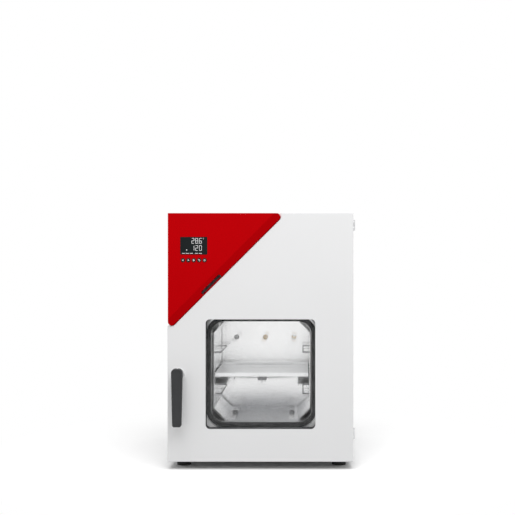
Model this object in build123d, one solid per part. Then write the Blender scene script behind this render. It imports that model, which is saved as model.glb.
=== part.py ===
from build123d import *
from math import cos, radians, sin, sqrt
import os

# A bench vacuum drying oven, in millimetres.
# +X is the right-hand side seen from the front, +Y runs to the back, +Z is up.
# The origin lies on the bench, under the middle of the whole oven.

# Cabinet and door
case_width = 515.0
case_height = 691.0
cabinet_depth = 440.0
door_thickness = 58.0
door_gap = 2.0
door_flange = 18.0
foot_height = 22.0
sheet = 1.5
edge_radius = 3.0
running_clearance = 0.08
loose_clearance = 0.3

# Instrument cover at the cabinet's top left corner
cover_leg = 325.0
cover_margin = 2.0
cover_corner_radius = 10.0
cover_stand_proud = 8.0
cover_wall = 3.0
cover_bevel_width = 22.0
cover_bevel_drop = 6.5
cover_door_gap = 1.2
grip_notch_length = 73.0
grip_notch_width = 11.0
grip_notch_depth = 6.0
grip_notch_place = 0.62

# Display and keys, measured from the cabinet's left side and top
display_width = 74.5
display_height = 48.5
display_left = 36.5
display_top = 68.0
display_thickness = 2.0
display_border = 4.0
key_diameter = 11.4
key_pitch = 14.9
key_drop = 132.0
key_proud = 1.0
key_travel = 0.6
key_flange = 1.2
board_thickness = 1.6
board_side = 106.0
switch_side = 6.0

# Window in the door, chamber behind it
window_side = 304.0
window_corner = 12.0
window_height = 243.0
outer_pane_thickness = 4.0
pane_overlap = 6.0
reveal_wall = 3.0
chamber_side = 285.0
chamber_depth = 290.0
chamber_wall = 6.0
chamber_corner = 37.0
flange_width = 32.0
flange_thickness = 12.0
seal_width = 14.0
seal_height = 6.7
seal_seat = 3.0
frame_fold = 18.0
seal_gap = 0.3

# Sprung inner pane
pane_side = 335.0
pane_thickness = 20.0
pane_corner = 14.0
pane_float = 3.0
carrier_lip = 2.0
carrier_wall = 4.0
carrier_flange = 16.0
spring_length = 90.0
spring_width = 8.0
spring_strip = 0.6
guide_bolt_radius = 2.5
guide_bolt_spread = 110.0

# Handle
handle_inset = 31.0
handle_height = 242.0
lever_below = 138.5
lever_above = 20.0
lever_top_width = 30.5
lever_bottom_width = 24.6
lever_thickness = 16.0
lever_stand = 46.0
rosette_radius = 16.5
rosette_height = 8.0
spindle_radius = 5.0
neck_radius = 11.0
latch_reach = 20.0
latch_width = 12.0
latch_thickness = 8.0
keeper_radius = 25.0
keeper_wall = 1.5
keeper_depth = 24.0

# Hinges
hinge_length = 30.0
lower_hinge_height = 54.0
upper_hinge_height = 643.0
knuckle_radius = 4.0
hinge_pin_radius = 2.0
hinge_leaf = 2.0
hinge_leaf_width = 26.0
knuckle_gap = 0.3

# Side racks and their shelf rails
rack_sheet = 1.5
rack_wall_gap = 4.0
rack_corner_clearance = 1.0
rack_flange_end = 77.0
rack_depth = 232.0
rack_setback = 38.0
rail_wire = 2.0
rail_reach = 116.0
first_rail = 73.0
rail_pitch = 60.0
rail_count = 3
rack_slot_length = 21.0
rack_slot_width = 9.0

# Shelf and its expansion clamp
shelf_half_width = 133.0
shelf_depth = 232.0
shelf_setback = 20.0
shelf_lip = 11.0
shelf_slot_length = 174.0
shelf_slot_width = 4.5
shoe_length = 200.0
shoe_height = 27.5
shoe_flange_end = 103.0
rod_radius = 1.5
rod_sag = 4.0
rod_pivot_reach = 126.0
rod_inner_end = 8.0
rod_setback = 36.0
clamp_block_width = 26.0
clamp_block_height = 13.0
clamp_block_depth = 14.0
clamp_travel = 8.0
pull_ring_radius = 5.0
pull_ring_wire = 0.8
pull_ring_place = 80.0

# Insulation, heating and inner frame
heater_thickness = 3.0
insulation_wall = 32.0
divider_clearance = 16.0
cradle_post = 20.0

# Ports at the back
port_bore_radius = 8.0
port_tube_radius = 10.0
port_flange_radius = 15.0
port_proud = 46.0
port_height = 150.0
port_spread = 90.0
valve_side = 40.0
nozzle_length = 58.0

# Feet, screws and the mains inlet
foot_radius = 21.5
foot_inset_x = 37.0
foot_inset_y = 75.0
screw_head_radius = 4.2
screw_head_height = 1.6
screw_radius = 2.0
inlet_width = 48.0
inlet_height = 58.0
rocker_width = 13.0
rocker_height = 19.0
rocker_tilt = 9.0

# Places worked out from the sizes above
half_width = case_width / 2
half_depth = (cabinet_depth + door_gap + door_thickness) / 2
door_front = -half_depth
door_back = door_front + door_thickness
cabinet_front = door_back + door_gap
cabinet_back = half_depth
case_bottom = foot_height
case_top = case_bottom + case_height
inside = half_width - sheet
centre_z = case_bottom + window_height
frame_back = cabinet_front + seal_seat
flange_front = frame_back
chamber_floor = centre_z - chamber_side / 2
chamber_half = chamber_side / 2
chamber_outer = chamber_half + chamber_wall
chamber_back = flange_front + chamber_depth
chamber_rear_face = chamber_back + chamber_wall
seal_side = chamber_side + 2 * seal_width
seal_front = door_back + seal_gap
pane_front = door_back - pane_thickness
carrier_front = pane_front - carrier_lip
reveal_back = carrier_front - pane_float - 0.5
cover_front = door_front - cover_stand_proud
cover_left = -half_width + cover_margin
cover_top = case_top - cover_margin
handle_x = -half_width + handle_inset
handle_z = case_bottom + handle_height
hinge_x = half_width + knuckle_radius + 0.2
hinge_y = cabinet_front - door_gap / 2
jacket_outer = chamber_outer + heater_thickness
insulation_outer = jacket_outer + insulation_wall
insulation_back = chamber_rear_face + heater_thickness + insulation_wall
divider_z = centre_z + insulation_outer + divider_clearance
key_row_z = case_top - key_drop
display_x = -half_width + display_left + display_width / 2
display_z = case_top - display_top - display_height / 2
board_back = cover_front + cover_wall + 8.0
shelf_top = chamber_floor + first_rail + rail_pitch + rail_wire + loose_clearance + rack_sheet
shelf_front = flange_front + shelf_setback
rack_front = flange_front + rack_setback
rack_wall_x = chamber_half - rack_wall_gap
rack_chamfer = chamber_corner - rack_wall_gap + rack_corner_clearance
shoe_top = chamber_floor + first_rail + rail_pitch - rail_wire - 1.0
shoe_x = rack_wall_x - rack_sheet - 1.2
rod_y = shelf_front + rod_setback
rod_outer_z = shelf_top - 14.0
block_z = rod_outer_z - rod_sag
port_z = centre_z + port_height / 2


def slab(x0, x1, y0, y1, z0, z1):
    size = (x1 - x0, y1 - y0, z1 - z0)
    return Pos((x0 + x1) / 2, (y0 + y1) / 2, (z0 + z1) / 2) * Box(*size)


def facing(y):
    """A plane across the oven at depth y, with its own x along X and its y along Z."""
    return Plane(origin=(0, y, 0), x_dir=(1, 0, 0), z_dir=(0, -1, 0))


def push(plane, sketch, length):
    """The sketch, laid on the plane and extruded along the plane's own z."""
    return extrude(plane * sketch, amount=length, dir=plane.z_dir)


def prism(sketch, y0, y1):
    return push(facing(y1), sketch, y1 - y0)


def prism_up(sketch, z0, z1):
    return push(Plane(origin=(0, 0, z0)), sketch, z1 - z0)


def round_square(side, radius, x=0.0, z=None):
    middle = centre_z if z is None else z
    return Pos(x, middle) * RectangleRounded(side, side, radius)


def cylinder_y(x, z, radius, y0, y1):
    return prism(Pos(x, z) * Circle(radius), y0, y1)


def cylinder_z(x, y, radius, z0, z1):
    return prism_up(Pos(x, y) * Circle(radius), z0, z1)


def cylinder_x(y, z, radius, x0, x1):
    plane = Plane(origin=(x0, y, z), x_dir=(0, 1, 0), z_dir=(1, 0, 0))
    return push(plane, Circle(radius), x1 - x0)


def screw_y(x, z, seat, length, facing_back=True):
    """A pan head screw along Y whose head stands on the face at y = seat."""
    way = 1 if facing_back else -1
    head = sorted((seat, seat + way * screw_head_height))
    shank = sorted((seat, seat - way * length))
    body = cylinder_y(x, z, screw_head_radius, *head)
    return body + cylinder_y(x, z, screw_radius, *shank)


def screw_x(y, z, seat, length, way):
    """A pan head screw along X; way is 1 where its head looks to the right."""
    head = sorted((seat, seat + way * screw_head_height))
    shank = sorted((seat, seat - way * length))
    return cylinder_x(y, z, screw_head_radius, *head) + cylinder_x(y, z, screw_radius, *shank)


def screw_z(x, y, seat, length):
    """A pan head screw that stands upright with its head on the face at z = seat."""
    head = cylinder_z(x, y, screw_head_radius, seat, seat + screw_head_height)
    return head + cylinder_z(x, y, screw_radius, seat - length, seat)


# Outlines at the front


def cover_outline(grow=0.0):
    """The instrument cover's rounded right triangle, grown by a margin on every side."""
    left = cover_left - grow
    top = cover_top + grow
    reach = cover_leg + grow * (2 + sqrt(2))
    triangle = Polygon((left, top), (left + reach, top), (left, top - reach), align=None)
    sharp = triangle.vertices().sort_by(lambda v: v.X - v.Y)
    body = fillet([sharp[-1]] + [sharp[1]], cover_corner_radius + grow)
    return body


def cover_points():
    """Centres of the two round ends of the cover's diagonal side."""
    slope = cover_corner_radius * (1 + sqrt(2))
    upper = (cover_left + cover_leg - slope, cover_top - cover_corner_radius)
    lower = (cover_left + cover_corner_radius, cover_top - cover_leg + slope)
    return upper, lower


def door_outline(grow=0.0):
    """The door's front: a rectangle that stops short of the instrument cover."""
    reach = cover_corner_radius + cover_door_gap - grow
    (ux, uz), (lx, lz) = cover_points()
    left, right = -half_width - grow, half_width + grow
    bottom, top = case_bottom - grow, case_top + grow
    half = reach / sqrt(2)
    low_mid = (lx + reach * sin(radians(22.5)), lz - reach * cos(radians(22.5)))
    up_mid = (ux + reach * cos(radians(22.5)), uz - reach * sin(radians(22.5)))
    outline = [
        Line((left, bottom), (right, bottom)),
        Line((right, bottom), (right, top)),
        Line((right, top), (ux + reach, top)),
        Line((ux + reach, top), (ux + reach, uz)),
        ThreePointArc((ux + reach, uz), up_mid, (ux + half, uz - half)),
        Line((ux + half, uz - half), (lx + half, lz - half)),
        ThreePointArc((lx + half, lz - half), low_mid, (lx, lz - reach)),
        Line((lx, lz - reach), (left, lz - reach)),
        Line((left, lz - reach), (left, bottom)),
    ]
    return make_face(Wire(outline))


# Cabinet shell


def casing_screw_places():
    ys = [cabinet_front + 60, 0.0, cabinet_back - 60]
    return [(side, y) for side in (-1, 1) for y in ys]


def rear_screw_places():
    xs = (-half_width + 6.5, half_width - 6.5)
    zs = [case_bottom + 40 + i * (case_height - 80) / 3 for i in range(4)]
    return [(x, z) for x in xs for z in zs]


def outer_casing():
    outer = slab(-half_width, half_width, cabinet_front, cabinet_back, case_bottom, case_top)
    long_edges = outer.edges().filter_by(Axis.Y).group_by(Axis.Z)[-1]
    outer = fillet(long_edges, edge_radius)
    hollow = slab(-inside, inside, cabinet_front, cabinet_back, case_bottom, case_top - sheet)
    body = outer - hollow
    rim = 12.0
    back = cabinet_back - sheet
    for side in (-1, 1):
        ends = sorted((side * inside, side * (inside - rim)))
        body += slab(*ends, back - sheet, back, case_bottom + 30, case_top - sheet)
    body += slab(-inside, inside, back - sheet, back, case_top - sheet - rim, case_top - sheet)
    for x, z in rear_screw_places():
        body -= cylinder_y(x, z, screw_radius + loose_clearance, back - 4, cabinet_back + 1)
    for side, y in casing_screw_places():
        ends = sorted((side * (inside - 1), side * (half_width + 1)))
        body -= cylinder_x(y, case_bottom + 14, screw_radius + loose_clearance, *ends)
    return body


def base_pan():
    front, back = cabinet_front + seal_seat, cabinet_back - sheet
    width = inside
    body = slab(-width, width, front, back, case_bottom, case_bottom + sheet)
    height = 26.0
    for side in (-1, 1):
        ends = sorted((side * width, side * (width - sheet)))
        body += slab(*ends, front, back, case_bottom, case_bottom + height)
    for y in (front, back - sheet):
        body += slab(-width, width, y, y + sheet, case_bottom, case_bottom + height)
    for x, y in foot_places():
        body -= cylinder_z(x, y, screw_radius + loose_clearance, case_bottom - 1, case_bottom + 5)
    for side, y in casing_screw_places():
        ends = sorted((side * (width - 3), side * (width + 1)))
        body -= cylinder_x(y, case_bottom + 14, screw_radius + loose_clearance, *ends)
    return body


def foot_places():
    xs = (-half_width + foot_inset_x, half_width - foot_inset_x)
    ys = (door_front + foot_inset_y, cabinet_back - foot_inset_y)
    return [(x, y) for x in xs for y in ys]


def feet():
    group = []
    for x, y in foot_places():
        foot = Pos(x, y, 0) * Cone(foot_radius - 2, foot_radius, foot_height,
                                   align=(Align.CENTER, Align.CENTER, Align.MIN))
        socket = cylinder_z(x, y, screw_radius, foot_height - 12, foot_height)
        group.append(foot - socket)
    return Compound(children=group)


def rear_panel():
    back = cabinet_back
    body = slab(-half_width + sheet + 0.3, half_width - sheet - 0.3, back - sheet, back,
                case_bottom, case_top - sheet - 0.3)
    for x, z in rear_screw_places():
        body -= cylinder_y(x, z, screw_radius + loose_clearance, back - 4, back + 1)
    for x in (-port_spread, 0.0, port_spread):
        body -= cylinder_y(x, port_z, port_tube_radius + 1.0, back - 4, back + 1)
    x, z = inlet_place()
    body -= slab(x - inlet_width / 2 + 3, x + inlet_width / 2 - 3, back - 4, back + 1,
                 z - inlet_height / 2 + 3, z + inlet_height / 2 - 3)
    # Vent slots in two rows near the top
    slot = Pos(0, 0) * SlotOverall(60, 5)
    for row in range(5):
        for x in (-150.0, 150.0):
            z = case_top - 60 - row * 12
            body -= prism(Pos(x, z) * slot, back - 4, back + 1)
    return body


def front_frame():
    body = slab(-inside, inside, cabinet_front, frame_back, case_bottom, case_top - sheet)
    opening = round_square(seal_side + 8, chamber_corner + seal_width + 4)
    body -= prism(opening, cabinet_front - 1, frame_back + 1)
    body -= cylinder_y(handle_x, handle_z, keeper_radius, cabinet_front - 1, frame_back + 1)
    # Wiring hole behind the instrument cover, and cover screws' holes
    hole_x, hole_z = display_x, display_z - 30
    body -= cylinder_y(hole_x, hole_z, 12, cabinet_front - 1, frame_back + 1)
    for x, z in cover_screw_places():
        body -= cylinder_y(x, z, screw_radius + loose_clearance, cabinet_front - 1, frame_back + 1)
    # Folded stiffening flanges at both sides
    for side in (-1, 1):
        ends = sorted((side * inside, side * (inside - sheet)))
        body += slab(*ends, frame_back, frame_back + frame_fold, case_bottom + 26,
                     handle_z - 60)
        body += slab(*ends, frame_back, frame_back + frame_fold, handle_z + 60,
                     case_top - sheet)
    return body


# Chamber


def chamber():
    outer = prism(round_square(chamber_side + 2 * chamber_wall, chamber_corner + chamber_wall),
                  flange_front + flange_thickness, chamber_rear_face)
    body = outer - prism(round_square(chamber_side, chamber_corner), flange_front, chamber_back)
    reach = chamber_back + nozzle_length
    for x in (-port_spread, 0.0, port_spread):
        body += cylinder_y(x, port_z, port_tube_radius, chamber_back, reach)
        body -= cylinder_y(x, port_z, port_bore_radius, chamber_back - 1, reach + 1)
    body -= cylinder_y(0, centre_z - 60, 3.2, chamber_back - 1, chamber_rear_face + 1)
    for x, y in rack_stud_places():
        body += cylinder_z(x, y, 3.0, chamber_floor - 1, chamber_floor + 4)
    return body


def chamber_flange():
    front, back = flange_front, flange_front + flange_thickness
    body = prism(round_square(chamber_side + 2 * flange_width, 12), front, back)
    body -= prism(round_square(chamber_side, chamber_corner), front - 1, back + 1)
    seat = round_square(seal_side + 2 * loose_clearance, chamber_corner + seal_width)
    body -= prism(seat, front - 1, seal_front + seal_height)
    return body


def door_gasket():
    outer = prism(round_square(seal_side, chamber_corner + seal_width),
                  seal_front, seal_front + seal_height)
    outer = fillet(outer.edges().group_by(Axis.Y)[0], 2.5)
    inner = prism(round_square(chamber_side + 0.6, chamber_corner), seal_front - 1,
                  seal_front + seal_height + 1)
    return outer - inner


def heating_jacket():
    """Flat heater mats on the chamber's four sides and its back."""
    near = flange_front + flange_thickness + 18
    far = chamber_rear_face - 20
    half = chamber_half - chamber_corner
    z0, z1 = centre_z - chamber_outer, centre_z + chamber_outer
    t = heater_thickness
    group = []
    for side in (-1, 1):
        ends = sorted((side * chamber_outer, side * (chamber_outer + t)))
        group.append(slab(*ends, near, far, centre_z - half, centre_z + half))
    group.append(slab(-half, half, near, far, z1, z1 + t))
    mat = slab(-half, half, near, far, z0 - t, z0)
    for x, y in cradle_places():
        gap = cradle_post / 2 + 1
        mat -= slab(x - gap, x + gap, y - gap, y + gap, z0 - t - 1, z0 + 1)
    group.append(mat)
    rear = slab(-half, half, chamber_rear_face, chamber_rear_face + t,
                centre_z - half, port_z - port_tube_radius - 12)
    rear -= cylinder_y(0, centre_z - 60, 5, chamber_rear_face - 1, chamber_rear_face + t + 1)
    group.append(rear)
    return Compound(children=group)


def insulation_blanket():
    front = flange_front + flange_thickness + 1
    outer = prism(round_square(2 * insulation_outer, 40), front, insulation_back)
    body = outer - prism(round_square(2 * jacket_outer + 0.6, 24), front - 1,
                         chamber_rear_face + heater_thickness + 0.3)
    for x in (-port_spread, 0.0, port_spread):
        body -= cylinder_y(x, port_z, port_tube_radius + 0.5, front, insulation_back + 1)
    body -= cylinder_y(0, centre_z - 60, 4.5, front, insulation_back + 1)
    for x, y in cradle_places():
        gap = cradle_post / 2 + 0.5
        body -= slab(x - gap, x + gap, y - gap, y + gap, case_bottom, centre_z - 100)
    return body


def cradle_places():
    return [(x, y) for x in (-80.0, 80.0) for y in (-110.0, 50.0)]


def chamber_cradle():
    """Two channel rails on the base pan with four posts up to the chamber's floor."""
    low, high = case_bottom + sheet, centre_z - chamber_outer
    group = []
    for y in (-110.0, 50.0):
        rail = slab(-220, 220, y - 16, y + 16, low, low + 22)
        rail -= slab(-221, 221, y - 13, y + 13, low - 1, low + 19)
        for x, place in cradle_places():
            if place == y:
                half = cradle_post / 2
                rail += slab(x - half, x + half, y - half, y + half, low + 19, high)
        group.append(rail)
    return Compound(children=group)


# Racks


def rack_stud_places():
    y = rack_front + rack_depth / 2
    return [(side * (rack_flange_end + 8), y) for side in (-1, 1)]


def rack(side):
    """A bent sheet that follows one chamber wall, with three wire rails for the shelf."""
    x, c, t = rack_wall_x, rack_chamfer, rack_sheet
    low = chamber_floor
    high = chamber_floor + chamber_side - loose_clearance
    path = [(rack_flange_end, low), (x - c, low), (x, low + c), (x, high - c),
            (x - c, high), (x - c - 6, high)]
    k = t * (sqrt(2) - 1)
    inner = [(x - c - 6, high - t), (x - c - k, high - t), (x - t, high - c - k),
             (x - t, low + c + k), (x - c - k, low + t), (rack_flange_end, low + t)]
    profile = make_face(Polyline(*[(side * px, pz) for px, pz in path + inner], close=True))
    body = prism(profile, rack_front, rack_front + rack_depth)
    slot_x = side * (rack_flange_end + 9)
    slot = Pos(slot_x, rack_front + rack_depth / 2) * SlotOverall(rack_slot_length, rack_slot_width)
    body -= prism_up(slot, low - 1, low + t + 1)
    for i in range(rail_count):
        body += rail(side, chamber_floor + first_rail + i * rail_pitch)
    return body


def rail(side, z):
    """One open loop of round wire that stands in from the rack's wall."""
    wall = rack_wall_x - rack_sheet
    inner = rail_reach + rail_wire
    front, back = rack_front + 14, rack_front + rack_depth - 14
    bend = 6.0
    path = FilletPolyline((side * wall, front, z), (side * inner, front, z),
                          (side * inner, back, z), (side * wall, back, z), radius=bend)
    start = Plane(origin=path @ 0, z_dir=path % 0)
    return sweep(start * Circle(rail_wire), path=path)


def rack_fixings():
    """Round knobs on the studs of the chamber floor, holding the racks' flanges."""
    group = []
    for x, y in rack_stud_places():
        seat = chamber_floor + rack_sheet
        knob = cylinder_z(x, y, 8.0, seat, seat + 7)
        knob = chamfer(knob.edges().group_by(Axis.Z)[-1], 1.5)
        knob -= cylinder_z(x, y, 3.0 + running_clearance, seat - 1, chamber_floor + 4.5)
        group.append(knob)
    return Compound(children=group)


# Shelf and clamp


def shelf_plate():
    half, t = shelf_half_width, rack_sheet
    top, under = shelf_top, shelf_top - rack_sheet
    front, back = shelf_front, shelf_front + shelf_depth
    body = slab(-half, half, front, back, under, top)
    body += slab(-half, half, front, front + t, top - shelf_lip, top)
    body += slab(-half, half, back - t, back, top, top + 6)
    slot_y = back - 8
    slot = Pos(0, slot_y) * SlotOverall(shelf_slot_length, shelf_slot_width)
    body -= prism_up(slot, under - 1, top + 1)
    # Hooks that carry the clamp shoes' lower flanges
    flange_low = shoe_top - shoe_height
    for side in (-1, 1):
        for y in hook_places():
            inner, outer = side * (shoe_flange_end - 3.5), side * (shoe_flange_end - 2.0)
            xs = sorted((inner, outer))
            body += slab(*xs, y, y + 14, flange_low - 2, under)
            xs = sorted((inner, side * (shoe_flange_end + 7)))
            body += slab(*xs, y, y + 14, flange_low - 0.3 - t, flange_low - 0.3)
            above = flange_low + t + 0.3
            body += slab(*xs, y, y + 14, above, above + t)
    # Guide post for the toggle block
    body += cylinder_z(0, rod_y, 2.5, block_z - clamp_block_height / 2 - clamp_travel, under)
    return body


def hook_places():
    return (shelf_front + 60, shelf_front + 170)


def clamp_shoe(side):
    """A channel along one side wall, with the pin that its push rod turns on."""
    t = rack_sheet
    low, high = shoe_top - shoe_height, shoe_top
    y0 = shelf_front + 16
    y1 = y0 + shoe_length
    wall = sorted((side * (shoe_x - t), side * shoe_x))
    body = slab(*wall, y0, y1, low, high)
    body += slab(*sorted((side * shoe_flange_end, side * shoe_x)), y0, y1, low, low + t)
    body += slab(*sorted((side * (shoe_x - 15), side * shoe_x)), y0, y1, high - t, high)
    lug = sorted((side * (rod_pivot_reach - 5), side * (shoe_x - t)))
    body += slab(*lug, rod_y + 3.5, rod_y + 5, rod_outer_z - 5, rod_outer_z + 5)
    body += cylinder_y(side * rod_pivot_reach, rod_outer_z, 2.0, rod_y - 3.5, rod_y + 3.5)
    return body


def clamp_rod(side):
    """A push rod from the shoe's pin, sagging a little to the toggle block."""
    pivot = (side * rod_pivot_reach, rod_y, rod_outer_z)
    end = (side * rod_inner_end, rod_y, block_z)
    eye = cylinder_y(pivot[0], pivot[2], 4.0, rod_y - 2.2, rod_y + 2.2)
    line = Line(pivot, end)
    body = eye + sweep(Plane(origin=pivot, z_dir=line % 0) * Circle(rod_radius), path=line)
    body -= cylinder_y(pivot[0], pivot[2], 2.0 + running_clearance, rod_y - 5, rod_y + 5)
    return body


def clamp_block():
    """The toggle block: it rides on the shelf's post and takes both rods in slots."""
    w, h, d = clamp_block_width, clamp_block_height, clamp_block_depth
    z = block_z
    body = slab(-w / 2, w / 2, rod_y - d / 2, rod_y + d / 2, z - h / 2, z + h / 2)
    body = chamfer(body.edges().filter_by(Axis.Y), 1.5)
    body -= cylinder_z(0, rod_y, 2.5 + running_clearance, z - h, z + h)
    for side in (-1, 1):
        xs = sorted((side * (rod_inner_end - 2.0), side * (w / 2 + 1)))
        gap = rod_radius + 0.8
        body -= slab(*xs, rod_y - gap, rod_y + gap, z - gap - 0.6, z + gap + 0.6)
    return body


def pull_ring():
    """A small wire ring that hangs on the left push rod."""
    share = (rod_pivot_reach - pull_ring_place) / (rod_pivot_reach - rod_inner_end)
    z = rod_outer_z - rod_sag * share
    middle = z + rod_radius + loose_clearance - (pull_ring_radius - pull_ring_wire)
    ring = Torus(pull_ring_radius, pull_ring_wire)
    return Pos(-pull_ring_place, rod_y, middle) * Rot(0, 90, 0) * ring


# Door


def door_skin():
    body = prism(door_outline(), door_front, door_back)
    front_edges = body.edges().group_by(Axis.Y)[0]
    body = fillet(front_edges, edge_radius * 0.6)
    seat = door_back - 2 * sheet
    body -= prism(door_outline(-sheet), door_front + sheet, seat)
    body -= prism(door_outline(-sheet - door_flange), seat - 1, seat + sheet)
    body -= prism(door_outline(-sheet), seat + sheet, door_back + 1)
    for x, z in liner_screw_places():
        body -= cylinder_y(x, z, screw_radius + 0.1, seat - 1, door_back)
    body -= prism(round_square(window_side, window_corner), door_front - 1, door_front + 4)
    body -= cylinder_y(handle_x, handle_z, rosette_tube() + 0.3, door_front - 1, door_front + 4)
    for y, z in door_hinge_screws():
        body -= cylinder_x(y, z, screw_radius + loose_clearance, inside - 1, half_width + 1)
    return body


def rosette_tube():
    return spindle_radius + 3.0


def door_liner():
    y0 = door_back - sheet
    body = prism(door_outline(-sheet - 0.3), y0, door_back)
    carrier = carrier_outline(2.0)
    body -= prism(carrier, y0 - 1, door_back + 1)
    body -= cylinder_y(handle_x, handle_z, spindle_radius + 0.4, y0 - 1, door_back + 1)
    for x, z in liner_screw_places():
        body -= cylinder_y(x, z, screw_radius + loose_clearance, y0 - 1, door_back + 1)
    return body


def liner_screw_places():
    edge = sheet + door_flange / 2
    left, right = -half_width + edge, half_width - edge
    bottom, top = case_bottom + edge, case_top - edge
    low, high = case_bottom + 160, case_bottom + 340
    corners = [(left, bottom), (right, bottom), (right, top), (right - 150, top)]
    return corners + [(left, low), (left, high), (right, low), (right, high)]


def carrier_outline(grow=0.0):
    width = pane_side + 2 * carrier_wall + 2 * carrier_flange
    height = pane_side + 2 * carrier_wall
    return Pos(0, centre_z) * RectangleRounded(width + 2 * grow, height + 2 * grow,
                                               pane_corner + grow)


def window_frame():
    """The dark tube behind the window's cut-out, with seats for the pane and the springs."""
    start = door_front + sheet
    seat = start + outer_pane_thickness
    outer = round_square(window_side + 36, window_corner + 10)
    body = prism(outer, start, seat + 2)
    pocket = round_square(window_side + 2 * pane_overlap + 0.6, window_corner + pane_overlap)
    body -= prism(pocket, start - 1, seat)
    body += prism(round_square(window_side + 2 * reveal_wall, window_corner + reveal_wall),
                  seat, reveal_back)
    rear = carrier_outline(0.0)
    body += prism(rear, reveal_back - 2, reveal_back)
    body -= prism(round_square(window_side, window_corner), start - 1, reveal_back + 1)
    for x, z in guide_bolt_places():
        body -= cylinder_y(x, z, guide_bolt_radius + 0.1, reveal_back - 3, reveal_back + 1)
    return body


def outer_pane():
    start = door_front + sheet
    side = window_side + 2 * pane_overlap
    return prism(round_square(side, window_corner + pane_overlap), start,
                 start + outer_pane_thickness)


def inner_pane():
    body = prism(round_square(pane_side, pane_corner), pane_front, door_back)
    return chamfer(body.edges().group_by(Axis.Y)[-1], 1.0)


def pane_carrier():
    """An angle frame that holds the inner pane by its rim, with ears for the guide bolts."""
    back = door_back - 4.0
    ring = prism(round_square(pane_side + 2 * carrier_wall, pane_corner + carrier_wall),
                 pane_front, back)
    ring -= prism(round_square(pane_side + 0.4, pane_corner), pane_front, back + 1)
    lip = prism(carrier_outline(0.0), carrier_front, pane_front)
    lip -= prism(round_square(window_side + 8, window_corner + 4), carrier_front - 1, pane_front + 1)
    body = ring + lip
    for x, z in guide_bolt_places():
        body -= cylinder_y(x, z, guide_bolt_radius + 0.3, carrier_front - 1, pane_front + 1)
    return body


def guide_bolt_places():
    x = pane_side / 2 + carrier_wall + carrier_flange / 2
    return [(side * x, centre_z + way * guide_bolt_spread) for side in (-1, 1) for way in (-1, 1)]


def pane_guide_bolts():
    group = []
    for x, z in guide_bolt_places():
        head = cylinder_y(x, z, 5.0, pane_front + 0.3, pane_front + 4.3)
        shank = cylinder_y(x, z, guide_bolt_radius, reveal_back - 8, pane_front + 1)
        nut = prism(Pos(x, z) * RegularPolygon(5.0, 6), reveal_back - 6, reveal_back - 2)
        group.append(head + shank + nut)
    return Compound(children=group)


def pane_springs():
    """Bowed spring strips between the window frame's rear flange and the carrier's lip."""
    y0 = reveal_back + 0.1
    crown = carrier_front - 0.3 - spring_strip
    half = spring_length / 2
    outer_line = ThreePointArc((-half, y0 + spring_strip), (0, crown + spring_strip), (half, y0 + spring_strip))
    inner_line = ThreePointArc((half, y0), (0, crown), (-half, y0))
    sides = [Line(outer_line @ 1, inner_line @ 0), Line(inner_line @ 1, outer_line @ 0)]
    strip = extrude(make_face(Wire([outer_line, sides[0], inner_line, sides[1]])),
                    amount=spring_width / 2, both=True)
    reach = (window_side + pane_side) / 4 + 5
    group = []
    for turn in range(4):
        placed = Pos(0, 0, centre_z) * Rot(0, 90 * turn, 0) * Pos(0, 0, reach) * strip
        group.append(placed)
    return Compound(children=group)


# Handle and latch


def lever_outline():
    top, bottom = handle_z + lever_above, handle_z - lever_below
    w0, w1 = lever_bottom_width / 2, lever_top_width / 2
    x = handle_x
    shoulder = top - 9
    side_mid = (x + w1 - 2.5, shoulder + 5.6)
    other_mid = (x - w1 + 2.5, shoulder + 5.6)
    outline = [
        Line((x - w0, bottom + 4), (x - w0 + 3, bottom)),
        Line((x - w0 + 3, bottom), (x + w0 - 3, bottom)),
        Line((x + w0 - 3, bottom), (x + w0, bottom + 4)),
        Line((x + w0, bottom + 4), (x + w1, shoulder)),
        ThreePointArc((x + w1, shoulder), side_mid, (x, top)),
        ThreePointArc((x, top), other_mid, (x - w1, shoulder)),
        Line((x - w1, shoulder), (x - w0, bottom + 4)),
    ]
    return make_face(Wire(outline))


def handle_lever():
    front = door_front - lever_stand
    back = front + lever_thickness
    body = prism(lever_outline(), front, back)
    body = chamfer(body.edges().group_by(Axis.Y)[0], 2.2)
    inset = offset(lever_outline(), amount=-4.2)
    body -= prism(inset, front - 1, front + 0.8)
    body += cylinder_y(handle_x, handle_z, neck_radius, back, door_front - rosette_height - 0.3)
    body -= cylinder_y(handle_x, handle_z, spindle_radius + 0.05, front + 6, door_front)
    return body


def handle_rosette():
    """A round plate on the door skin whose tube carries the spindle through the door."""
    plate = cylinder_y(handle_x, handle_z, rosette_radius, door_front - rosette_height, door_front)
    plate = fillet(plate.edges().group_by(Axis.Y)[0], 2.0)
    tube = cylinder_y(handle_x, handle_z, rosette_tube(), door_front, door_back - sheet)
    bore = cylinder_y(handle_x, handle_z, spindle_radius + running_clearance,
                      door_front - rosette_height - 1, door_back)
    return plate + tube - bore


def handle_spindle():
    front = door_front - lever_stand + 6.1
    tail = cabinet_front + 4 + latch_thickness + 6
    body = cylinder_y(handle_x, handle_z, spindle_radius, front, tail)
    nut = prism(Pos(handle_x, handle_z) * RegularPolygon(8.0, 6), tail - 5.5, tail - 1)
    return body + nut


def latch_bar():
    y0 = cabinet_front + 4
    w = latch_width / 2
    bar = slab(handle_x - w, handle_x + w, y0, y0 + latch_thickness,
               handle_z - latch_reach, handle_z + 8)
    bar = fillet(bar.edges().filter_by(Axis.Y), 4.0)
    nose = bar.edges().group_by(Axis.Z)[0]
    bar = chamfer(nose, 1.0)
    return bar - cylinder_y(handle_x, handle_z, spindle_radius + 0.05, y0 - 1,
                            y0 + latch_thickness + 1)


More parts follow.
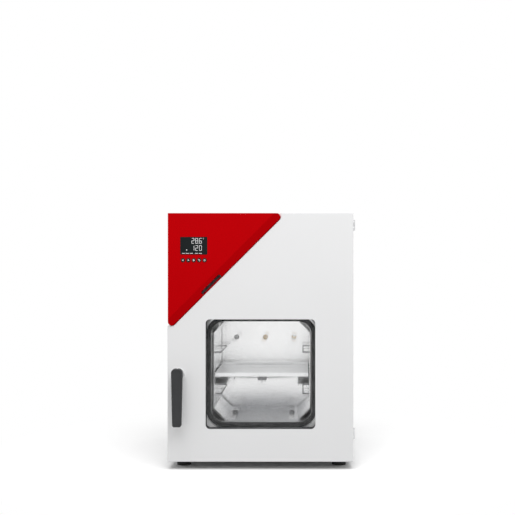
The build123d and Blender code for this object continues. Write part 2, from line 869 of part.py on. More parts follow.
def latch_keeper():
    """A round pocket behind the front frame that the latch bar turns in."""
    y0, y1 = frame_back, frame_back + keeper_depth
    cup = cylinder_y(handle_x, handle_z, keeper_radius + keeper_wall, y0, y1)
    cup -= cylinder_y(handle_x, handle_z, keeper_radius, y0 - 1, y1 - keeper_wall)
    z = keeper_radius + 12
    tabs = slab(handle_x - 10, handle_x + 10, y0, y0 + keeper_wall, handle_z - z, handle_z + z)
    tabs -= cylinder_y(handle_x, handle_z, keeper_radius + 0.5, y0 - 1, y0 + keeper_wall + 1)
    return cup + tabs


# Hinges


def hinge_heights():
    return (case_bottom + lower_hinge_height, case_bottom + upper_hinge_height)


def hinge_split(z):
    return z + hinge_length / 2


def cabinet_hinge_leaves():
    group = []
    for z in hinge_heights():
        x0, x1 = half_width, half_width + hinge_leaf
        near = hinge_y + knuckle_radius
        leaf = slab(x0, x1, near, near + hinge_leaf_width, z, z + hinge_length)
        top = hinge_split(z) - knuckle_gap / 2
        leaf += slab(x0, x1, hinge_y, near, z, top)
        leaf += cylinder_z(hinge_x, hinge_y, knuckle_radius, z, top)
        leaf -= cylinder_z(hinge_x, hinge_y, hinge_pin_radius + running_clearance, z + 3, top + 1)
        for y, height in cabinet_hinge_screws(z):
            leaf -= cylinder_x(y, height, screw_radius + loose_clearance, x0 - 1, x1 + 1)
        group.append(leaf)
    return Compound(children=group)


def cabinet_hinge_screws(z):
    y = hinge_y + knuckle_radius + hinge_leaf_width / 2
    return [(y, z + 7), (y, z + hinge_length - 7)]


def door_hinge_leaves():
    group = []
    for z in hinge_heights():
        x0, x1 = half_width, half_width + hinge_leaf
        near = hinge_y - knuckle_radius - 0.2
        leaf = slab(x0, x1, near - hinge_leaf_width, near, z, z + hinge_length)
        low, high = hinge_split(z) + knuckle_gap / 2, z + hinge_length
        leaf += slab(x0, x1, near, hinge_y, low, high)
        leaf += cylinder_z(hinge_x, hinge_y, knuckle_radius, low, high)
        leaf -= cylinder_z(hinge_x, hinge_y, hinge_pin_radius + running_clearance, low - 1, high - 3)
        for y, height in door_hinge_screws():
            leaf -= cylinder_x(y, height, screw_radius + loose_clearance, x0 - 1, x1 + 1)
        group.append(leaf)
    return Compound(children=group)


def door_hinge_screws():
    y = hinge_y - knuckle_radius - 0.2 - hinge_leaf_width / 2
    return [(y, z + rise) for z in hinge_heights() for rise in (7, hinge_length - 7)]


def hinge_pins():
    group = []
    for z in hinge_heights():
        group.append(cylinder_z(hinge_x, hinge_y, hinge_pin_radius, z + 3, z + hinge_length - 3.3))
    return Compound(children=group)


# Instrument cover and its electronics


def cover_screw_places():
    return [(cover_left + 14, cover_top - 14), (cover_left + 200, cover_top - 14),
            (cover_left + 14, cover_top - 200)]


def cover_board_posts():
    x0, z1 = board_corner()
    return [(x0 + dx, z1 - dz) for dx in (6, board_side - 6) for dz in (6, board_side - 6)]


def board_corner():
    return display_x - board_side / 2, display_z + display_height / 2 + 14


def key_places():
    middle = display_x
    return [middle + (i - 2) * key_pitch for i in range(5)]


def instrument_cover():
    outer = prism(cover_outline(), cover_front, cabinet_front)
    # The bevel that runs along the diagonal side
    run, drop = cover_bevel_width, cover_bevel_drop
    corner = (cover_left, cover_top - cover_leg)
    along = Vector(1, 0, 1).normalized()
    into = Vector(-1, 0, 1).normalized()
    plane = Plane(origin=(corner[0] - 40 * along.X, cover_front, corner[1] - 40 * along.Z),
                  x_dir=(into.X, 0, into.Z), z_dir=(along.X, 0, along.Z))
    # The section's own y axis points to -Y or +Y depending on the plane's hand
    way = 1 if plane.y_dir.Y > 0 else -1
    section = Polygon((-20, way * (drop + drop * 20 / run)), (run, 0), (run, -way * 5),
                      (-20, -way * 5), align=None)
    wedge = push(plane, section, cover_leg * sqrt(2) + 80)
    body = outer - wedge
    inner_front = cover_front + cover_wall
    hollow = prism(cover_outline(-cover_wall), inner_front, cabinet_front + 1)
    lower = Plane(origin=plane.origin + Vector(0, cover_wall + 0.4, 0), x_dir=plane.x_dir,
                  z_dir=plane.z_dir)
    hollow -= push(lower, section, cover_leg * sqrt(2) + 80)
    body -= hollow
    body -= grip_notch()
    body -= display_cut()
    for x in key_places():
        body -= cylinder_y(x, key_row_z, key_diameter / 2 + loose_clearance, cover_front - 1,
                           inner_front + 1)
    for x, z in cover_board_posts():
        body += cylinder_y(x, z, 4.0, inner_front - 0.5, board_back - board_thickness)
    for x, z in cover_screw_places():
        post = cylinder_y(x, z, 6.0, cabinet_front - 24, cabinet_front)
        body += post - cylinder_y(x, z, screw_radius, cabinet_front - 20, cabinet_front + 1)
        walls = slab(x - 9, x + 9, cabinet_front - 24, cabinet_front, z + 3, cover_top - 1)
        if z < cover_top - 100:
            walls = slab(cover_left + 1, x - 3, cabinet_front - 24, cabinet_front, z - 2, z + 2)
        body += walls - cylinder_y(x, z, screw_radius + 1, cabinet_front - 30, cabinet_front + 1)
    return body


def grip_notch():
    """A finger recess in the bevel, part of the way up the diagonal side."""
    corner = (cover_left, cover_top - cover_leg)
    share = cover_leg * (1 - grip_notch_place)
    x, z = corner[0] + share, corner[1] + share
    outline = Pos(x, z) * Rot(0, 0, 45) * RectangleRounded(grip_notch_length,
                                                           2 * grip_notch_width, 5)
    return prism(outline, cover_front, cover_front + cover_bevel_drop + grip_notch_depth)


def display_cut():
    pocket = Pos(display_x, display_z) * RectangleRounded(display_width + 0.4,
                                                          display_height + 0.4, 2.2)
    hole = Pos(display_x, display_z) * RectangleRounded(display_width - 2 * display_border,
                                                        display_height - 2 * display_border, 2)
    cut = prism(pocket, cover_front - 1, cover_front + display_thickness)
    return cut + prism(hole, cover_front, cover_front + cover_wall + 1)


def display_window():
    lens = Pos(display_x, display_z) * RectangleRounded(display_width, display_height, 2)
    body = prism(lens, cover_front - 0.4, cover_front + display_thickness)
    return chamfer(body.edges().group_by(Axis.Y)[0], 0.3)


def display_module():
    width, height = display_width - 2 * display_border - 1, display_height - 2 * display_border - 1
    front = cover_front + display_thickness + 0.3
    back = board_back - board_thickness
    x, z = display_x, display_z
    glass = slab(x - width / 2, x + width / 2, front, back - 2, z - height / 2, z + height / 2)
    # Pin rows between the glass and the board
    for row in (-1, 1):
        for i in range(10):
            px = x - 27 + 6 * i
            pz = z + row * (height / 2 - 3)
            glass += slab(px - 0.4, px + 0.4, back - 2, back, pz - 0.4, pz + 0.4)
    return glass


def control_board():
    x0, z1 = board_corner()
    z0 = z1 - board_side
    face = board_back - board_thickness
    body = slab(x0, x0 + board_side, face, board_back, z0, z1)
    for x in key_places():
        body += slab(x - switch_side / 2, x + switch_side / 2, face - 2.5, face,
                     key_row_z - switch_side / 2, key_row_z + switch_side / 2)
    for i in range(4):
        x = x0 + 16 + 20 * i
        body += slab(x, x + 12, board_back, board_back + 5, z0 + 14, z0 + 24)
    return body


def key(x):
    """A round push key with a collar behind the cover's wall."""
    r = key_diameter / 2
    body = cylinder_y(x, key_row_z, r, cover_front - key_proud, cover_front + cover_wall + 1)
    body = fillet(body.edges().group_by(Axis.Y)[0], 0.6)
    collar = cover_front + cover_wall + loose_clearance
    body += cylinder_y(x, key_row_z, r + 1.2, collar, collar + key_flange)
    stem_end = board_back - board_thickness - 2.5 - key_travel - 0.2
    return body + cylinder_y(x, key_row_z, 2.0, collar, stem_end)


def electronics_divider():
    z = divider_z
    front, back = frame_back + frame_fold + 1, cabinet_back - 2 * sheet - 2
    body = slab(-inside, inside, front, back, z, z + sheet)
    for side in (-1, 1):
        ends = sorted((side * inside, side * (inside - sheet)))
        body += slab(*ends, front, back, z, z + 16)
    return body


def power_board():
    """The power supply board on its posts, with its transformer, relays and heat sink."""
    z = divider_z + sheet
    posts = [(x, y) for x in (-150, 90) for y in (-40, 110)]
    body = slab(-160, 100, -50, 120, z + 8, z + 10)
    for x, y in posts:
        body += cylinder_z(x, y, 3.5, z, z + 8)
    body += slab(-140, -80, -30, 25, z + 10, z + 55)
    for i in range(3):
        body += slab(-60 + 34 * i, -34 + 34 * i, -30, 0, z + 10, z + 30)
    for i in range(7):
        body += slab(10 + 8 * i, 12 + 8 * i, 40, 100, z + 12, z + 42)
    body += slab(8, 62, 40, 100, z + 10, z + 13)
    for i in range(3):
        body += cylinder_z(-60 + 26 * i, 75, 9, z + 10, z + 34)
    return body


# Services at the back


def solenoid_valves():
    """Two equal valves in the vacuum line and the gas line."""
    group = []
    y0 = chamber_back + nozzle_length
    for x in (0.0, port_spread):
        half = valve_side / 2
        body = slab(x - half, x + half, y0, y0 + valve_side, port_z - 14, port_z + 14)
        body += cylinder_z(x, y0 + half, 9, port_z + 14, port_z + 20)
        coil = slab(x - 15, x + 15, y0 + half - 18, y0 + half + 18, port_z + 20, port_z + 52)
        coil = fillet(coil.edges().filter_by(Axis.Z), 3)
        body += coil
        body -= cylinder_y(x, port_z, port_bore_radius - 2, y0 - 1, y0 + valve_side + 1)
        group.append(body)
    return Compound(children=group)


def small_flange(x, face, thickness):
    """The round vacuum flange at a tube's end: a flat rim and a 15 degree cone behind it."""
    rim = cylinder_y(x, port_z, port_flange_radius, face - thickness, face)
    cone_depth = (port_flange_radius - port_tube_radius) * 0.27
    plane = Plane(origin=(x, face - thickness - cone_depth, port_z), z_dir=(0, 1, 0))
    cone = Solid.make_cone(port_tube_radius, port_flange_radius, cone_depth, plane)
    return rim + cone


def vacuum_port():
    face = cabinet_back + port_proud
    start = chamber_back + nozzle_length + valve_side
    body = cylinder_y(port_spread, port_z, port_tube_radius, start, face)
    body += small_flange(port_spread, face, 3.0)
    return body - cylinder_y(port_spread, port_z, port_bore_radius, start - 1, face + 1)


def gas_inlet_port():
    """A hose nozzle for the flushing gas, on a locknut at the rear panel."""
    start = chamber_back + nozzle_length + valve_side
    body = cylinder_y(0, port_z, port_tube_radius, start, cabinet_back + 4)
    body += prism(Pos(0, port_z) * RegularPolygon(13, 6), cabinet_back, cabinet_back + 6)
    body += cylinder_y(0, port_z, 4.5, cabinet_back + 6, cabinet_back + 36)
    for i in range(3):
        y = cabinet_back + 16 + 7 * i
        plane = Plane(origin=(0, y, port_z), z_dir=(0, 1, 0))
        barb = Solid.make_cone(5.6, 4.4, 5.0, plane)
        body += barb
    return body - cylinder_y(0, port_z, 3.0, start - 1, cabinet_back + 40)


def measuring_port():
    """A straight tube from the chamber with a side branch for the pressure sensor."""
    start = chamber_back + nozzle_length
    face = cabinet_back + port_proud - 6
    branch_y = start + 38
    body = cylinder_y(-port_spread, port_z, port_tube_radius, start, face)
    body += small_flange(-port_spread, face, 3.0)
    body += cylinder_z(-port_spread, branch_y, 6.0, port_z + 5, port_z + 22)
    body -= cylinder_y(-port_spread, port_z, port_bore_radius, start - 1, face + 1)
    return body - cylinder_z(-port_spread, branch_y, 3.5, port_z, port_z + 23)


def blank_flange():
    """The cap on the measuring port and the two-part clamp round it."""
    face = cabinet_back + port_proud - 6
    cap = cylinder_y(-port_spread, port_z, port_flange_radius, face, face + 6)
    ring = cylinder_y(-port_spread, port_z, port_flange_radius + 5, face - 5, face + 5)
    ring -= cylinder_y(-port_spread, port_z, port_flange_radius + 0.2, face - 6, face + 6)
    x = -port_spread
    ears = slab(x - 4, x + 4, face - 4, face + 4, port_z + port_flange_radius + 2,
                port_z + port_flange_radius + 14)
    screw = cylinder_x(face, port_z + port_flange_radius + 9, 2.0, x - 14, x + 14)
    wing = slab(x + 12, x + 15, face - 6, face + 6, port_z + port_flange_radius + 5,
                port_z + port_flange_radius + 13)
    return Compound(children=[cap, ring + ears + screw + wing])


def pressure_sensor():
    y = chamber_back + nozzle_length + 38
    z = port_z + 22
    body = prism_up(Pos(-port_spread, y) * RegularPolygon(12, 6), z, z + 10)
    body += cylinder_z(-port_spread, y, 10, z + 10, z + 40)
    return body + cylinder_z(-port_spread, y, 5, z + 40, z + 50)


def chamber_probe():
    """The temperature probe: a thin sheath through the chamber's back wall, with its gland."""
    z = centre_z - 60
    sheath = cylinder_y(0, z, 2.0, chamber_back - 26, insulation_back + 12)
    gland = cylinder_y(0, z, 3.1, chamber_back, chamber_rear_face)
    nut = prism(Pos(0, z) * RegularPolygon(7, 6), insulation_back + 0.3, insulation_back + 8)
    return sheath + gland + nut


def inlet_place():
    return half_width - 90, case_bottom + 70


def mains_inlet():
    """The appliance inlet with its three pins and the frame of the rocker switch."""
    x, z = inlet_place()
    w, h = inlet_width / 2, inlet_height / 2
    back = cabinet_back
    body = slab(x - w, x + w, back, back + 3, z - h, z + h)
    body = fillet(body.edges().filter_by(Axis.Y), 3)
    body += slab(x - w + 3.3, x + w - 3.3, back - 34, back, z - h + 3.3, z + h - 3.3)
    socket = Pos(x, z + 12) * RectangleRounded(24, 17, 3)
    body -= prism(socket, back - 18, back + 4)
    pins = [slab(x + dx - 1, x + dx + 1, back - 18, back - 3, z + 10, z + 14)
            for dx in (-7, 0, 7)]
    rx, rz = rocker_place()
    hole = slab(rx - rocker_height / 2 - 0.4, rx + rocker_height / 2 + 0.4, back - 16, back + 4,
                rz - rocker_width / 2 - 0.4, rz + rocker_width / 2 + 0.4)
    body -= hole
    # Stub bearings that the rocker turns on
    for side in (-1, 1):
        z0, z1 = sorted((rz + side * (rocker_width / 2 + 0.5), rz + side * (rocker_width / 2 - 1.5)))
        body += cylinder_z(rx, back - 5, 1.5, z0, z1)
    return Compound(children=[body] + pins)


def rocker_place():
    x, z = inlet_place()
    return x - 4, z - 12


def power_rocker():
    """A rocker with two sloping faces, turned to its on side."""
    x, z = rocker_place()
    w = rocker_width / 2
    back = cabinet_back
    pivot = back - 5
    r = rocker_height / 2 - 0.6
    slope = (r * sin(radians(rocker_tilt)))
    profile = make_face(Polyline((-r, 5.5 + slope), (0, 5.5), (r, 5.5 + slope), (r - 1.5, -3),
                                 (-r + 1.5, -3), close=True))
    plane = Plane(origin=(x, pivot, z - w), x_dir=(1, 0, 0), z_dir=(0, 0, 1))
    body = push(plane, profile, 2 * w)
    for side in (-1, 1):
        z0, z1 = sorted((z + side * (w + 1), z + side * (w - 1.8)))
        body -= cylinder_z(x, pivot, 1.5 + running_clearance, z0, z1)
    turned = Pos(x, pivot, z) * Rot(0, 0, -rocker_tilt) * Pos(-x, -pivot, -z) * body
    return turned


# Screws


def cabinet_screws():
    group = [screw_y(x, z, cabinet_back, 8) for x, z in rear_screw_places()]
    for side, y in casing_screw_places():
        group.append(screw_x(y, case_bottom + 14, side * half_width, 6, side))
    group += [screw_z(x, y, case_bottom + sheet, 10) for x, y in foot_places()]
    for z in hinge_heights():
        for y, height in cabinet_hinge_screws(z):
            group.append(screw_x(y, height, half_width + hinge_leaf, hinge_leaf, 1))
    for x, z in cover_screw_places():
        group.append(screw_y(x, z, frame_back, 14))
    return Compound(children=group)


def door_screws():
    group = [screw_y(x, z, door_back, 8) for x, z in liner_screw_places()]
    for y, z in door_hinge_screws():
        group.append(screw_x(y, z, half_width + hinge_leaf, 6, 1))
    return Compound(children=group)


def build_all():
    nodes = {
        "outer_casing": outer_casing(),
        "base_pan": base_pan(),
        "feet": feet(),
        "rear_panel": rear_panel(),
        "front_frame": front_frame(),
        "chamber": chamber(),
        "chamber_flange": chamber_flange(),
        "door_gasket": door_gasket(),
        "heating_jacket": heating_jacket(),
        "insulation_blanket": insulation_blanket(),
        "chamber_cradle": chamber_cradle(),
        "rack_left": rack(-1),
        "rack_right": rack(1),
        "rack_fixings": rack_fixings(),
        "shelf_plate": shelf_plate(),
        "clamp_shoe_left": clamp_shoe(-1),
        "clamp_shoe_right": clamp_shoe(1),
        "clamp_rod_left": clamp_rod(-1),
        "clamp_rod_right": clamp_rod(1),
        "clamp_block": clamp_block(),
        "pull_ring": pull_ring(),
        "door_skin": door_skin(),
        "door_liner": door_liner(),
        "window_frame": window_frame(),
        "outer_pane": outer_pane(),
        "inner_pane": inner_pane(),
        "pane_carrier": pane_carrier(),
        "pane_guide_bolts": pane_guide_bolts(),
        "pane_springs": pane_springs(),
        "handle_lever": handle_lever(),
        "handle_rosette": handle_rosette(),
        "handle_spindle": handle_spindle(),
        "latch_bar": latch_bar(),
        "latch_keeper": latch_keeper(),
        "cabinet_hinge_leaves": cabinet_hinge_leaves(),
        "door_hinge_leaves": door_hinge_leaves(),
        "hinge_pins": hinge_pins(),
        "instrument_cover": instrument_cover(),
        "display_window": display_window(),
        "display_module": display_module(),
        "control_board": control_board(),
        "electronics_divider": electronics_divider(),
        "power_board": power_board(),
        "solenoid_valves": solenoid_valves(),
        "vacuum_port": vacuum_port(),
        "gas_inlet_port": gas_inlet_port(),
        "measuring_port": measuring_port(),
        "blank_flange": blank_flange(),
        "pressure_sensor": pressure_sensor(),
        "chamber_probe": chamber_probe(),
        "mains_inlet": mains_inlet(),
        "power_rocker": power_rocker(),
        "cabinet_screws": cabinet_screws(),
        "door_screws": door_screws(),
    }
    names = ("key_up", "key_down", "key_set", "key_back", "key_standby")
    for name, x in zip(names, key_places()):
        nodes[name] = key(x)
    return nodes


os.makedirs("parts", exist_ok=True)
for name, shape in build_all().items():
    export_step(shape, f"parts/{name}.step")
    print(name, len(shape.solids()))
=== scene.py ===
import bpy
import bmesh
import math
from mathutils import Matrix, Vector


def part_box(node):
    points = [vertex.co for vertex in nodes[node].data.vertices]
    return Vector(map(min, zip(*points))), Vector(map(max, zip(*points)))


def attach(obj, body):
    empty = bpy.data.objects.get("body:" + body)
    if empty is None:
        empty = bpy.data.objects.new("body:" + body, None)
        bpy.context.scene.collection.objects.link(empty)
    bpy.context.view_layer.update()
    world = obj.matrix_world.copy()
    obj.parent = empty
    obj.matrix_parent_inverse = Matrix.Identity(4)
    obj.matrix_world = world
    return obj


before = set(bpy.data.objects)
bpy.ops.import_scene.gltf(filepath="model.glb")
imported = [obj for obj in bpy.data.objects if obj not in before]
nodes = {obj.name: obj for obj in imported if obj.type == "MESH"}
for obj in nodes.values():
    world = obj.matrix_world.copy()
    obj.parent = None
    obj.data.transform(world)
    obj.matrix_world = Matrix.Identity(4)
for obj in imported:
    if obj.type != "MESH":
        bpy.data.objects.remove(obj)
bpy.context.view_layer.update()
print("frame loaded with", len(nodes), "nodes")


# small helpers for node trees
def addNode(tree, kind, inputs=None, **settings):
    node = tree.nodes.new(kind)
    for name, value in settings.items():
        setattr(node, name, value)
    for key, value in (inputs or {}).items():
        if isinstance(value, bpy.types.NodeSocket):
            tree.links.new(value, node.inputs[key])
        else:
            node.inputs[key].default_value = value
    return node


def doMath(tree, operation, first, second=0.0, third=0.0):
    return addNode(tree, "ShaderNodeMath", {0: first, 1: second, 2: third}, operation=operation).outputs[0]


def mixColours(tree, share, first, second):
    return addNode(tree, "ShaderNodeMix", {0: share, 6: first, 7: second}, data_type="RGBA").outputs[2]


def spread(tree, value, low, high):
    return addNode(tree, "ShaderNodeMapRange", {0: value, 1: low, 2: high}).outputs[0]


def objectPlace(tree):
    return addNode(tree, "ShaderNodeTexCoord").outputs["Object"]


def addNoise(tree, place, scale, detail, **more):
    inputs = {"Vector": place, "Scale": scale, "Detail": detail, **more}
    return addNode(tree, "ShaderNodeTexNoise", inputs).outputs[0]


def startMaterial(name):
    material = bpy.data.materials.new(name)
    material.use_nodes = True
    return material, material.node_tree, material.node_tree.nodes["Principled BSDF"]


def startGroup(name, inputs, outputs):
    tree = bpy.data.node_groups.new(name, "ShaderNodeTree")
    kinds = {"value": "NodeSocketFloat", "colour": "NodeSocketColor", "vector": "NodeSocketVector"}
    for label, kind, value in inputs:
        tree.interface.new_socket(name=label, in_out="INPUT", socket_type=kinds[kind]).default_value = value
    for label, kind in outputs:
        tree.interface.new_socket(name=label, in_out="OUTPUT", socket_type=kinds[kind])
    return tree, tree.nodes.new("NodeGroupInput").outputs, tree.nodes.new("NodeGroupOutput").inputs


def useGroup(tree, group, inputs):
    return addNode(tree, "ShaderNodeGroup", inputs, node_tree=group).outputs


def rgba(grey, green=None, blue=None):
    return (grey, grey if green is None else green, grey if blue is None else blue, 1.0)


# shared effects
drift = {"detail": 5.0, "roughness": 0.55, "from": 0.35, "to": 0.65}


def buildToneDrift():
    group, given, result = startGroup(
        "toneDrift",
        [("Colour", "colour", rgba(0.8)), ("Second", "colour", rgba(0.7)),
         ("Scale", "value", 8.0), ("Amount", "value", 0.3)],
        [("Colour", "colour")])
    noise = addNoise(group, objectPlace(group), given["Scale"], drift["detail"], Roughness=drift["roughness"])
    share = doMath(group, "MULTIPLY", spread(group, noise, drift["from"], drift["to"]), given["Amount"])
    group.links.new(mixColours(group, share, given["Colour"], given["Second"]), result["Colour"])
    return group


grain = {"detail": 3.0, "roughness": 0.6, "from": 0.3, "to": 0.7}
touches = {"scale": 14.0, "detail": 4.0, "distortion": 0.6, "from": 0.52, "to": 0.7}


def buildSurfaceGrain():
    group, given, result = startGroup(
        "surfaceGrain",
        [("Stretch", "vector", (1, 1, 1)), ("Scale", "value", 600.0), ("Rough Low", "value", 0.3),
         ("Rough High", "value", 0.4), ("Smudge", "value", 0.05)],
        [("Roughness", "value"), ("Height", "value")])
    place = objectPlace(group)
    laid = addNode(group, "ShaderNodeMapping", {"Vector": place, "Scale": given["Stretch"]}).outputs[0]
    noise = addNoise(group, laid, given["Scale"], grain["detail"], Roughness=grain["roughness"])
    height = spread(group, noise, grain["from"], grain["to"])
    touch = addNoise(group, place, touches["scale"], touches["detail"], Distortion=touches["distortion"])
    marks = spread(group, touch, touches["from"], touches["to"])
    span = doMath(group, "SUBTRACT", given["Rough High"], given["Rough Low"])
    rough = doMath(group, "MULTIPLY_ADD", height, span, given["Rough Low"])
    group.links.new(doMath(group, "MULTIPLY_ADD", marks, given["Smudge"], rough), result["Roughness"])
    group.links.new(height, result["Height"])
    return group


rubAndLightSpread = {
    "samples": 4, "flat": 0.985, "edge": 0.86, "patchScale": 90.0, "detail": 3.0, "from": 0.36, "to": 0.62,
}


# edge mask with patches; the colour laid with it is a painted highlight on the white and red finishes, a
# painted shade line on the racks, and a lighter edge on the other finishes
def buildEdgeRubAndPaintedLight():
    group, given, result = startGroup("edgeRubAndPaintedLight", [("Width", "value", 0.001)], [("RubAndLight", "value")])
    rounded = addNode(group, "ShaderNodeBevel", {"Radius": given["Width"]}, samples=rubAndLightSpread["samples"])
    flat = addNode(group, "ShaderNodeNewGeometry").outputs["Normal"]
    along = addNode(group, "ShaderNodeVectorMath", {0: rounded.outputs[0], 1: flat}, operation="DOT_PRODUCT")
    edge = spread(group, along.outputs["Value"], rubAndLightSpread["flat"], rubAndLightSpread["edge"])
    noise = addNoise(group, objectPlace(group), rubAndLightSpread["patchScale"], rubAndLightSpread["detail"])
    patches = spread(group, noise, rubAndLightSpread["from"], rubAndLightSpread["to"])
    group.links.new(doMath(group, "MULTIPLY", edge, patches), result["RubAndLight"])
    return group


dustAndShadeSpread = {
    "samples": 4, "open": 0.75, "corner": 0.25, "patchScale": 60.0, "detail": 4.0, "from": 0.35, "to": 0.6,
}


# corner mask from ambient occlusion with patches: dust on most finishes, painted shade in the red moulding's
# corners and recesses
def buildCornerDustAndShade():
    group, given, result = startGroup("cornerDustAndShade", [("Reach", "value", 0.006)], [("DustAndShade", "value")])
    shade = addNode(group, "ShaderNodeAmbientOcclusion", {"Distance": given["Reach"]},
                    samples=dustAndShadeSpread["samples"]).outputs["AO"]
    noise = addNoise(group, objectPlace(group), dustAndShadeSpread["patchScale"], dustAndShadeSpread["detail"])
    corners = spread(group, shade, dustAndShadeSpread["open"], dustAndShadeSpread["corner"])
    patches = spread(group, noise, dustAndShadeSpread["from"], dustAndShadeSpread["to"])
    group.links.new(doMath(group, "MULTIPLY", corners, patches), result["DustAndShade"])
    return group


toneDrift = buildToneDrift()
surfaceGrain = buildSurfaceGrain()
edgeRubAndPaintedLight = buildEdgeRubAndPaintedLight()
cornerDustAndShade = buildCornerDustAndShade()
print("shared effects built")

commonFinish = {  # what a finish has unless it says otherwise
    "driftScale": 9.0, "drift": 0.5, "stretch": (1, 1, 1), "grainScale": 700.0, "smudge": 0.04,
    "lineShade": 0.0, "edge": 0.0, "edgeWidth": 0.0008,
    "dustAndShade": 0.0, "dustAndShadeReach": 0.005, "dustAndShadeColour": rgba(0.3, 0.29, 0.27),
    "bump": 0.1, "bumpDepth": 0.0002, "metal": 0.0, "specular": 0.5, "glow": 0.0,
}


def makeFinish(name, changes):
    values = {**commonFinish, **changes}
    material, tree, shader = startMaterial(name)
    colour = useGroup(tree, toneDrift, {"Colour": values["colour"], "Second": values["second"],
                                        "Scale": values["driftScale"], "Amount": values["drift"]})["Colour"]
    surface = useGroup(tree, surfaceGrain, {"Stretch": values["stretch"], "Scale": values["grainScale"],
                                            "Rough Low": values["rough"][0], "Rough High": values["rough"][1],
                                            "Smudge": values["smudge"]})
    if values["lineShade"]:  # brushed metals and fibres show their lines in the colour too
        share = doMath(tree, "MULTIPLY", surface["Height"], values["lineShade"])
        colour = mixColours(tree, share, colour, values["second"])
    # edge colour: a painted highlight on the white and red finishes, painted shade on the racks, a lighter
    # edge elsewhere
    if values["edge"]:
        rubAndLight = useGroup(tree, edgeRubAndPaintedLight, {"Width": values["edgeWidth"]})["RubAndLight"]
        share = doMath(tree, "MULTIPLY", rubAndLight, values["edge"])
        colour = mixColours(tree, share, colour, values["edgeColour"])
    # corner colour: dust on most finishes, painted shade on the red moulding
    if values["dustAndShade"]:
        dustAndShade = useGroup(tree, cornerDustAndShade, {"Reach": values["dustAndShadeReach"]})["DustAndShade"]
        share = doMath(tree, "MULTIPLY", dustAndShade, values["dustAndShade"])
        colour = mixColours(tree, share, colour, values["dustAndShadeColour"])
    bump = addNode(tree, "ShaderNodeBump", {"Height": surface["Height"], "Strength": values["bump"],
                                            "Distance": values["bumpDepth"]})
    tree.links.new(colour, shader.inputs["Base Color"])
    tree.links.new(surface["Roughness"], shader.inputs["Roughness"])
    tree.links.new(bump.outputs[0], shader.inputs["Normal"])
    shader.inputs["Metallic"].default_value = values["metal"]
    shader.inputs["Specular IOR Level"].default_value = values["specular"]
    if values["glow"]:
        shader.inputs["Emission Color"].default_value = values["colour"]
        shader.inputs["Emission Strength"].default_value = values["glow"]
    return material


def dress(material, *names):
    for name in names:
        mesh = nodes[name].data
        mesh.materials.clear()
        mesh.materials.append(material)


# lays another colour over part of a finish, where findShare says, and hands back that share
def tintPart(material, colour, findShare):
    tree = material.node_tree
    shader = tree.nodes["Principled BSDF"]
    share = findShare(tree, objectPlace(tree))
    base = shader.inputs["Base Color"].links[0].from_socket
    tree.links.new(mixColours(tree, share, base, colour), shader.inputs["Base Color"])
    return share


def splitPlace(tree, place):
    return addNode(tree, "ShaderNodeSeparateXYZ", {0: place}).outputs


# the lighter edge colour of the white paint is a painted highlight along its edges
whitePaint = {
    "colour": rgba(0.86, 0.862, 0.866), "second": rgba(0.84, 0.842, 0.846), "driftScale": 5.0,
    "rough": (0.34, 0.44), "grainScale": 1100.0, "bump": 0.12, "bumpDepth": 0.00008,
    "edge": 0.25, "edgeColour": rgba(0.95), "dustAndShade": 0.25, "dustAndShadeColour": rgba(0.5, 0.49, 0.47),
}
dress(makeFinish("whitePaint", whitePaint), "outer_casing", "door_skin", "rear_panel", "front_frame")

# the lighter red along the edges is a painted highlight, and the dark red in corners and recesses is painted
# shade
redMoulding = {
    "colour": rgba(0.52, 0.0, 0.002), "second": rgba(0.49, 0.0, 0.002), "driftScale": 7.0,
    "rough": (0.42, 0.5), "grainScale": 1600.0, "bump": 0.05, "bumpDepth": 0.00005, "specular": 0.02,
    "edge": 0.2, "edgeColour": rgba(0.62, 0.03, 0.03), "dustAndShade": 0.15, "dustAndShadeColour": rgba(0.12, 0.0, 0.0),
}
dress(makeFinish("redMoulding", redMoulding), "instrument_cover")

polishedSteel = {
    "colour": rgba(0.98, 0.98, 0.98), "second": rgba(0.93, 0.935, 0.94), "drift": 0.3, "driftScale": 4.0,
    "rough": (0.24, 0.3), "stretch": (8, 1, 8), "grainScale": 90.0, "bump": 0.02, "metal": 1.0,
    "smudge": 0.02,
}
chamberLow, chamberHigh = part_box("chamber")
chamberLowShade = {  # painted shade: the steel is painted darker low down, towards the chamber's floor
    "top": chamberLow[2] + 0.075, "bottom": chamberLow[2] + 0.005, "unevenness": 0.012,
    "patchScale": 9.0, "detail": 2.0, "colour": rgba(0.5, 0.505, 0.52),
}


# mask of the painted shade low in the chamber, darker towards the floor
def paintedLowShade(tree, place):
    noise = addNoise(tree, place, chamberLowShade["patchScale"], chamberLowShade["detail"])
    shift = doMath(tree, "SUBTRACT", noise, 0.5)
    z = doMath(tree, "MULTIPLY_ADD", shift, chamberLowShade["unevenness"], splitPlace(tree, place)[2])
    return addNode(tree, "ShaderNodeMapRange", {0: z, 1: chamberLowShade["top"], 2: chamberLowShade["bottom"]},
                   interpolation_type="SMOOTHSTEP").outputs[0]


chamberFinish = makeFinish("polishedSteel", polishedSteel)
tintPart(chamberFinish, chamberLowShade["colour"], paintedLowShade)
dress(chamberFinish, "chamber")

flangeSteel = dict(polishedSteel, rough=(0.24, 0.34), stretch=(30, 30, 1), colour=rgba(0.62, 0.625, 0.63))
dress(makeFinish("flangeSteel", flangeSteel), "chamber_flange", "door_liner")

brushedSteel = {
    "colour": rgba(0.74, 0.75, 0.76), "second": rgba(0.5, 0.51, 0.52), "drift": 0.2, "lineShade": 0.35,
    "rough": (0.22, 0.36), "stretch": (60, 1, 60), "grainScale": 26.0, "metal": 1.0,
}
dress(makeFinish("brushedSteel", brushedSteel), "pane_springs", "pressure_sensor", "chamber_probe",
      "measuring_port", "vacuum_port")

